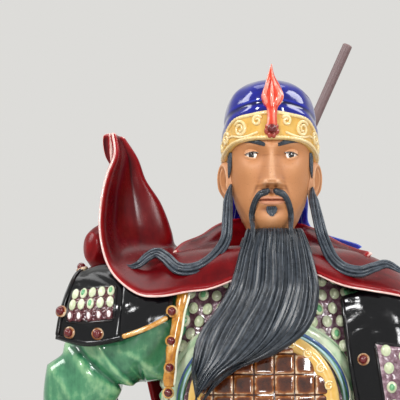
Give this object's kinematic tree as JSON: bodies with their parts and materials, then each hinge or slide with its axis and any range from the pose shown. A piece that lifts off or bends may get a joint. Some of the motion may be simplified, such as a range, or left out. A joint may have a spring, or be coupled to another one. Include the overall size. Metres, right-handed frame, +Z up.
{
  "type": "guan gong statue",
  "caption": "Glazed stoneware statue of a standing bearded general in a dark red cape and armour, with a pole weapon behind the back, on an oval plinth.",
  "frame": {"origin": "centre of the oval plinth's underside", "axes": "+Z up; the figure faces -Y; its right arm is at -X"},
  "size_m": [0.3301, 0.1818, 0.645],
  "materials": {
    "red_glaze": "gloss",
    "pole_wood": "satin",
    "blade_metal": "satin"
  },
  "bodies": {
    "root": {"statue": "red_glaze", "pole": "pole_wood", "blade": "blade_metal"}
  },
  "joints": []
}
